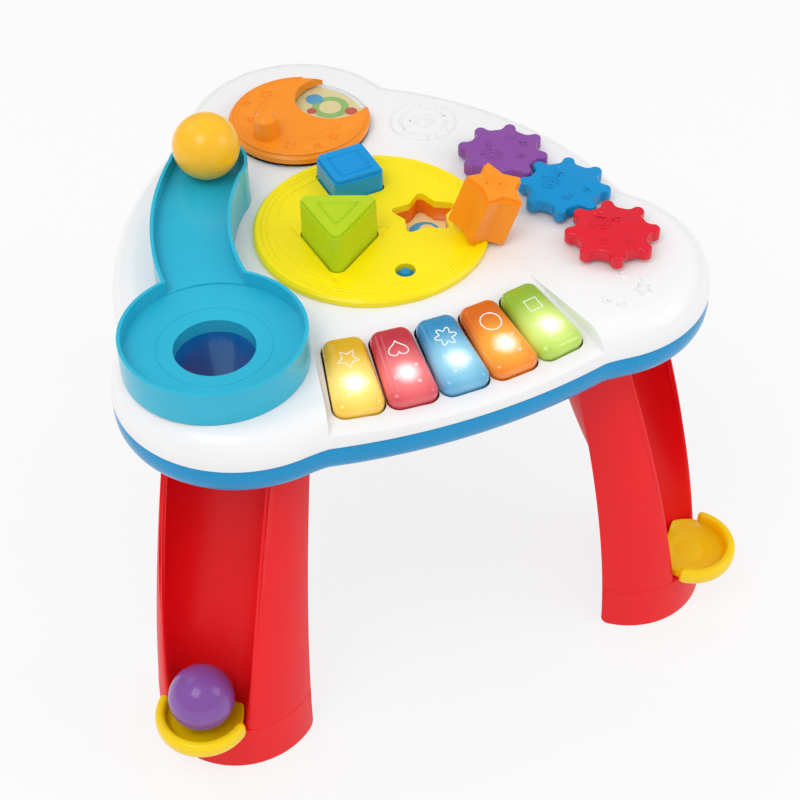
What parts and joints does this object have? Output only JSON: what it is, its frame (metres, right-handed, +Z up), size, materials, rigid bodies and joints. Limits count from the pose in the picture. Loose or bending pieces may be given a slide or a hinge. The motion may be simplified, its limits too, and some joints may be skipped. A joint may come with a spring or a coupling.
{
  "type": "musical activity table",
  "caption": "Baby's activity table on splayed legs, with a ball ramp, shape sorter, gears, moon dial, light-up piano keys and ball cups.",
  "frame": {"origin": "on the floor, below the centre of the table's bounding box", "axes": "+Z up, keyboard towards -Y, ball bowl towards -X"},
  "size_m": [0.4944, 0.496, 0.4063],
  "materials": {
    "white_plastic": "satin gloss",
    "blue_plastic": "gloss",
    "teal_plastic": "gloss",
    "deep_blue_plastic": "gloss",
    "yellow_plastic": "satin gloss",
    "green_plastic": "satin gloss",
    "orange_plastic": "satin gloss",
    "card_print": "printed card",
    "purple_plastic": "gloss",
    "red_gear_plastic": "gloss",
    "clear_plastic": "clear gloss",
    "zinc_steel": "plated",
    "key_yellow_plastic": "translucent gloss",
    "key_red_plastic": "translucent gloss",
    "key_blue_plastic": "translucent gloss",
    "key_orange_plastic": "translucent gloss",
    "key_green_plastic": "translucent gloss",
    "grey_plastic": "matte",
    "rubber_strip": "matte",
    "lamp_plastic": "gloss",
    "board_green": "satin",
    "speaker_black": "matte",
    "cell_wrap": "satin",
    "red_plastic": "satin",
    "amber_plastic": "gloss",
    "block_blue_plastic": "satin gloss"
  },
  "bodies": {
    "table": {"top_shell": "white_plastic", "base_tray": "blue_plastic", "ball_ramp": "teal_plastic", "drop_chute": "deep_blue_plastic", "sorter_disc": "yellow_plastic", "square_well": "blue_plastic", "triangle_well": "green_plastic", "star_well": "orange_plastic", "star_card": "card_print", "button_cup": "yellow_plastic", "button_spring": "zinc_steel", "picture_card": "card_print", "key_frame": "grey_plastic", "key_pins": "zinc_steel", "contact_strip": "rubber_strip", "key_lamps": "lamp_plastic", "circuit_board": "board_green", "speaker": "speaker_black", "battery_box": "blue_plastic", "battery_cells": "cell_wrap", "battery_contacts": "zinc_steel", "switch_body": "speaker_black", "case_screws": "zinc_steel", "leg_left": "red_plastic", "leg_right": "red_plastic", "leg_back": "red_plastic", "leg_plates": "red_plastic", "wires": "speaker_black", "cup_left": "yellow_plastic", "cup_right": "yellow_plastic", "cup_back": "yellow_plastic"},
    "dial": {"moon_dial": "orange_plastic", "dial_window": "clear_plastic", "dial_clip": "zinc_steel"},
    "gear_blue": {"gear_blue": "blue_plastic", "clip_blue": "zinc_steel"},
    "gear_purple": {"gear_purple": "purple_plastic", "clip_purple": "zinc_steel"},
    "gear_red": {"gear_red": "red_gear_plastic", "clip_red": "zinc_steel"},
    "key_yellow": {"key_yellow": "key_yellow_plastic"},
    "key_red": {"key_red": "key_red_plastic"},
    "key_blue": {"key_blue": "key_blue_plastic"},
    "key_orange": {"key_orange": "key_orange_plastic"},
    "key_green": {"key_green": "key_green_plastic"},
    "sorter_button": {"sorter_button": "blue_plastic"},
    "power_switch": {"power_switch": "grey_plastic"},
    "battery_door": {"battery_door": "blue_plastic", "door_screw": "zinc_steel"},
    "ball_yellow": {"ball_yellow": "amber_plastic"},
    "ball_purple": {"ball_purple": "purple_plastic"},
    "block_square": {"block_square": "block_blue_plastic"},
    "block_triangle": {"block_triangle": "green_plastic"},
    "block_star": {"block_star": "orange_plastic"}
  },
  "joints": [
    {"name": "dial_spin", "type": "hinge", "parent": "table", "child": "dial", "pos_m": [-0.001, 0.09403, 0.33], "axis": [0, 0, 1], "continuous": true},
    {"name": "gear_blue_spin", "type": "hinge", "parent": "table", "child": "gear_blue", "pos_m": [0.1478, -0.07516, 0.33], "axis": [0, 0, 1], "continuous": true},
    {"name": "gear_purple_spin", "type": "hinge", "parent": "table", "child": "gear_purple", "pos_m": [0.1244, -0.01666, 0.33], "axis": [0, 0, 1], "continuous": true},
    {"name": "gear_red_spin", "type": "hinge", "parent": "table", "child": "gear_red", "pos_m": [0.15515, -0.13773, 0.33], "axis": [0, 0, 1], "continuous": true},
    {"name": "key_yellow_press", "type": "hinge", "parent": "table", "child": "key_yellow", "pos_m": [-0.06401, -0.14603, 0.31986], "axis": [0.9853, -0.1709, 0], "range_deg": [0, 4], "stiffness_Nm_per_rad": 3},
    {"name": "key_red_press", "type": "hinge", "parent": "table", "child": "key_red", "pos_m": [-0.03213, -0.15016, 0.31986], "axis": [0.9963, -0.0858, 0], "range_deg": [0, 4], "stiffness_Nm_per_rad": 3},
    {"name": "key_blue_press", "type": "hinge", "parent": "table", "child": "key_blue", "pos_m": [0, -0.15154, 0.31986], "axis": [1, 0, 0], "range_deg": [0, 4], "stiffness_Nm_per_rad": 3},
    {"name": "key_orange_press", "type": "hinge", "parent": "table", "child": "key_orange", "pos_m": [0.03213, -0.15016, 0.31986], "axis": [0.9963, 0.0858, 0], "range_deg": [0, 4], "stiffness_Nm_per_rad": 3},
    {"name": "key_green_press", "type": "hinge", "parent": "table", "child": "key_green", "pos_m": [0.06401, -0.14603, 0.31986], "axis": [0.9853, 0.1709, 0], "range_deg": [0, 4], "stiffness_Nm_per_rad": 3},
    {"name": "sorter_button_press", "type": "slide", "parent": "table", "child": "sorter_button", "axis": [0, 0, -1], "range_m": [0, 0.002], "stiffness_N_per_m": 400},
    {"name": "power_switch_slide", "type": "slide", "parent": "table", "child": "power_switch", "axis": [1, 0, 0], "range_m": [0, 0.008]},
    {"name": "battery_door_off", "type": "slide", "parent": "table", "child": "battery_door", "axis": [0, 0, -1], "range_m": [0, 0.06]},
    {"name": "ball_yellow_lift", "type": "slide", "parent": "table", "child": "ball_yellow", "axis": [0, 0, 1], "range_m": [0, 0.12]},
    {"name": "ball_purple_lift", "type": "slide", "parent": "table", "child": "ball_purple", "axis": [0, 0, 1], "range_m": [0, 0.14]},
    {"name": "block_square_lift", "type": "slide", "parent": "table", "child": "block_square", "axis": [0, 0, 1], "range_m": [0, 0.08]},
    {"name": "block_triangle_lift", "type": "slide", "parent": "table", "child": "block_triangle", "axis": [0, 0, 1], "range_m": [0, 0.06]},
    {"name": "block_star_lift", "type": "slide", "parent": "table", "child": "block_star", "axis": [0, 0, 1], "range_m": [0, 0.08]}
  ],
  "couplings": [
    {"joint": "gear_purple_spin", "follows": "gear_blue_spin", "ratio": -1},
    {"joint": "gear_red_spin", "follows": "gear_blue_spin", "ratio": -1}
  ]
}
